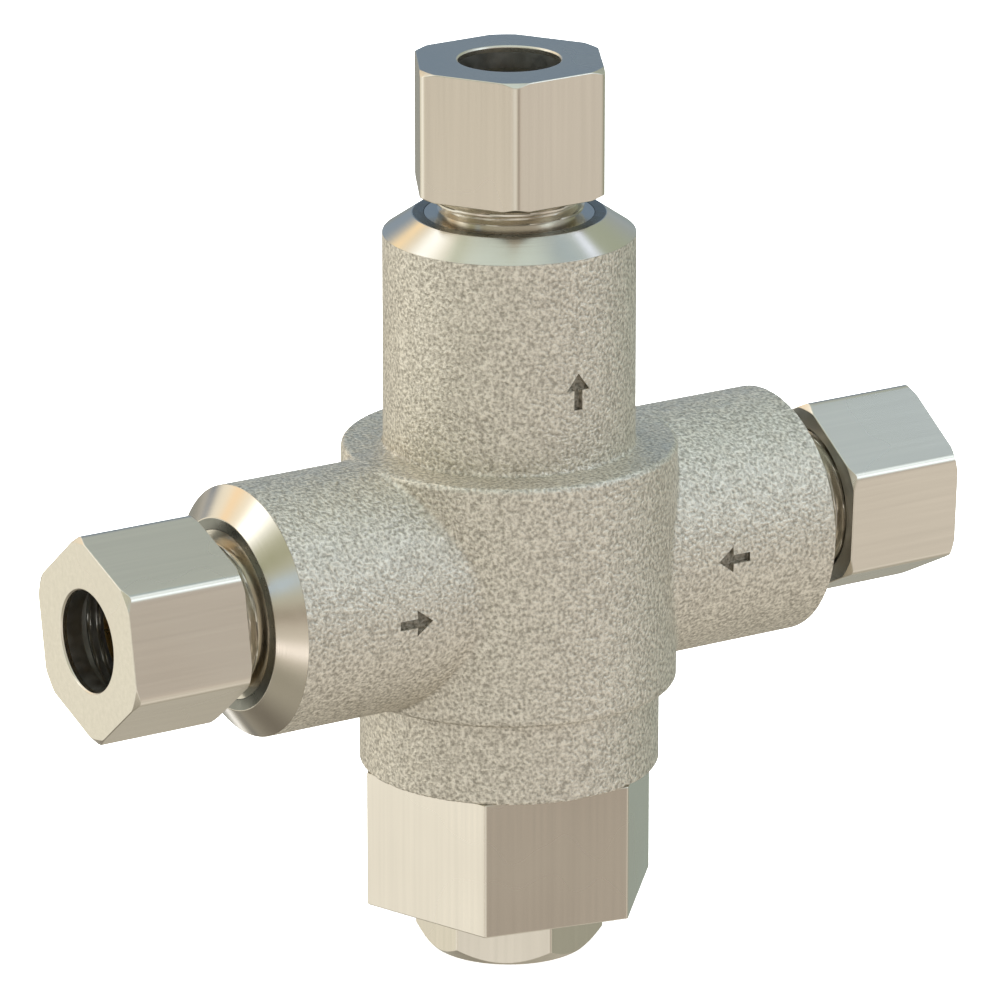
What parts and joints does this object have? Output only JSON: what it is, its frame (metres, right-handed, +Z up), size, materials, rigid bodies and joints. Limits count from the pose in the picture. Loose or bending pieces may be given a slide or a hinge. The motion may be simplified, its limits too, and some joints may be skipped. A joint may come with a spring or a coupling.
{
  "type": "thermostatic mixing valve",
  "caption": "Cross-shaped thermostatic mixing valve with compression nuts on two inlets and an outlet, a hexagon bonnet and a locking cap.",
  "frame": {"origin": "middle of the flat underside of the cap, on the vertical axis of the outlet, bonnet and cap", "axes": "+Z up along the outlet, +X along the cold inlet (hot inlet towards -X), -Y towards the marked front"},
  "size_m": [0.0934, 0.0322, 0.0884],
  "materials": {
    "blasted_nickel": "bead-blasted nickel plate on brass, fine sparkling grain",
    "nut_nickel": "machined and nickel plated, satin",
    "machined_nickel": "machined and nickel plated, satin",
    "bare_brass": "machined",
    "copper_alloy": "drawn",
    "stainless": "drawn wire and stamped sheet",
    "white_plastic": "moulded",
    "rubber": "moulded",
    "fibre_gasket": "pressed fibre"
  },
  "bodies": {
    "body": {"valve_body": "blasted_nickel", "bonnet": "machined_nickel", "bonnet_o_ring": "rubber", "spindle_stop_ring": "stainless", "return_spring": "stainless", "hot_connector": "machined_nickel", "hot_connector_o_ring": "rubber", "cold_connector": "machined_nickel", "cold_connector_o_ring": "rubber", "outlet_connector": "machined_nickel", "outlet_connector_o_ring": "rubber", "hot_strainer": "stainless", "hot_check_housing": "white_plastic", "hot_check_o_ring": "rubber", "hot_check_spring": "stainless", "cold_strainer": "stainless", "cold_check_housing": "white_plastic", "cold_check_o_ring": "rubber", "cold_check_spring": "stainless"},
    "shuttle": {"shuttle": "bare_brass", "shuttle_o_ring": "rubber", "thermostat_element": "copper_alloy"},
    "spindle_seals": {"spindle_o_rings": "rubber"},
    "spindle": {"spindle": "bare_brass", "plunger_clip": "stainless", "overtravel_spring": "stainless"},
    "plunger": {"plunger": "bare_brass", "thermostat_piston": "stainless"},
    "cap_gasket": {"cap_gasket": "fibre_gasket"},
    "cap": {"cap": "machined_nickel"},
    "hot_ferrule": {"hot_ferrule": "bare_brass"},
    "hot_nut": {"hot_nut": "nut_nickel"},
    "cold_ferrule": {"cold_ferrule": "bare_brass"},
    "cold_nut": {"cold_nut": "nut_nickel"},
    "outlet_ferrule": {"outlet_ferrule": "bare_brass"},
    "outlet_nut": {"outlet_nut": "nut_nickel"},
    "hot_poppet": {"hot_check_poppet": "white_plastic", "hot_check_seal": "rubber"},
    "cold_poppet": {"cold_check_poppet": "white_plastic", "cold_check_seal": "rubber"}
  },
  "joints": [
    {"name": "hot_ferrule_slide", "type": "slide", "parent": "body", "child": "hot_ferrule", "axis": [-1, 0, 0], "range_m": [-0.00195, 0.0085]},
    {"name": "hot_nut_turn", "type": "hinge", "parent": "hot_ferrule", "child": "hot_nut", "pos_m": [-0.03, 0, 0.0389], "axis": [-1, 0, 0], "range_deg": [-660, 2880]},
    {"name": "cold_ferrule_slide", "type": "slide", "parent": "body", "child": "cold_ferrule", "axis": [1, 0, 0], "range_m": [-0.00195, 0.0085]},
    {"name": "cold_nut_turn", "type": "hinge", "parent": "cold_ferrule", "child": "cold_nut", "pos_m": [0.03, 0, 0.0389], "axis": [1, 0, 0], "range_deg": [-660, 2880]},
    {"name": "outlet_ferrule_slide", "type": "slide", "parent": "body", "child": "outlet_ferrule", "axis": [0, 0, 1], "range_m": [-0.00195, 0.0085]},
    {"name": "outlet_nut_turn", "type": "hinge", "parent": "outlet_ferrule", "child": "outlet_nut", "pos_m": [0, 0, 0.0689], "axis": [0, 0, 1], "range_deg": [-660, 2880]},
    {"name": "cap_slide", "type": "slide", "parent": "body", "child": "cap_gasket", "axis": [0, 0, -1], "range_m": [0, 0.006]},
    {"name": "cap_turn", "type": "hinge", "parent": "cap_gasket", "child": "cap", "pos_m": [0, 0, 0], "axis": [0, 0, -1], "range_deg": [0, 2160]},
    {"name": "spindle_rise", "type": "slide", "parent": "body", "child": "spindle_seals", "axis": [0, 0, 1], "range_m": [-0.001, 0.001]},
    {"name": "spindle_turn", "type": "hinge", "parent": "spindle_seals", "child": "spindle", "pos_m": [0, 0, 0.01], "axis": [0, 0, 1], "range_deg": [-360, 360]},
    {"name": "overtravel", "type": "slide", "parent": "spindle", "child": "plunger", "axis": [0, 0, -1], "range_m": [0, 0.002], "stiffness_N_per_m": 3000, "springref_m": -0.001, "deforming": ["overtravel_spring"]},
    {"name": "shuttle_slide", "type": "slide", "parent": "body", "child": "shuttle", "axis": [0, 0, 1], "range_m": [-0.001, 0.001], "stiffness_N_per_m": 2000, "deforming": ["return_spring"]},
    {"name": "hot_check_open", "type": "slide", "parent": "body", "child": "hot_poppet", "axis": [1, 0, 0], "range_m": [0, 0.0016], "stiffness_N_per_m": 150, "springref_m": -0.001, "deforming": ["hot_check_spring"]},
    {"name": "cold_check_open", "type": "slide", "parent": "body", "child": "cold_poppet", "axis": [-1, 0, 0], "range_m": [0, 0.0016], "stiffness_N_per_m": 150, "springref_m": -0.001, "deforming": ["cold_check_spring"]}
  ],
  "couplings": [
    {"joint": "hot_ferrule_slide", "follows": "hot_nut_turn", "m_per_rad": 0.00016844},
    {"joint": "cold_ferrule_slide", "follows": "cold_nut_turn", "m_per_rad": 0.00016844},
    {"joint": "outlet_ferrule_slide", "follows": "outlet_nut_turn", "m_per_rad": 0.00016844},
    {"joint": "cap_slide", "follows": "cap_turn", "m_per_rad": 0.00015915},
    {"joint": "spindle_rise", "follows": "spindle_turn", "m_per_rad": 0.00015915}
  ]
}
